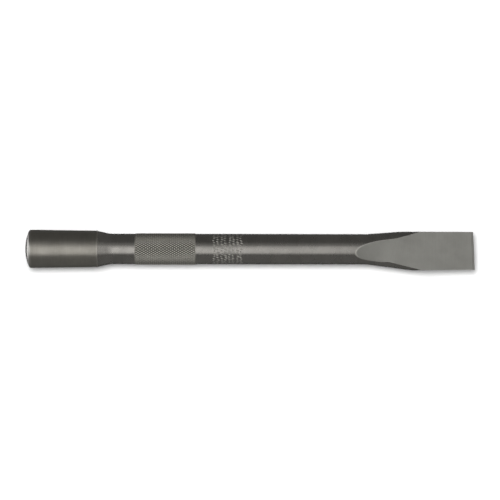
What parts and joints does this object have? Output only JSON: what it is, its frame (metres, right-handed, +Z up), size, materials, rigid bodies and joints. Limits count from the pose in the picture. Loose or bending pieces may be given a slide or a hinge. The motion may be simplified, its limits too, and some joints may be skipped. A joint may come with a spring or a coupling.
{
  "type": "cold chisel",
  "caption": "Round-bar cold chisel with a domed striking head, a diamond-knurled grip and a flat ground blade with a straight bevelled edge.",
  "frame": {"origin": "on the plane the tool lies on, straight below the bar's axis at mid-length", "axes": "+X from the struck end to the cutting edge along the bar's axis, +Y across the flat of the blade, +Z up through the blade's thickness"},
  "size_m": [0.3048, 0.0272, 0.0259],
  "materials": {
    "struck_steel": "turned bare steel, satin, polished by hammer blows",
    "oxide_steel": "dark heat-treated steel with fine turning lines, satin",
    "knurled_steel": "rolled diamond knurl, worn lighter on the points",
    "ground_steel": "fine surface-ground satin steel"
  },
  "bodies": {
    "root": {"struck_crown": "struck_steel", "striking_head": "oxide_steel", "head_shoulder": "oxide_steel", "neck": "oxide_steel", "knurled_grip": "knurled_steel", "shank": "oxide_steel", "blade_flare": "oxide_steel", "blade": "ground_steel", "cutting_edge": "ground_steel"}
  },
  "joints": []
}
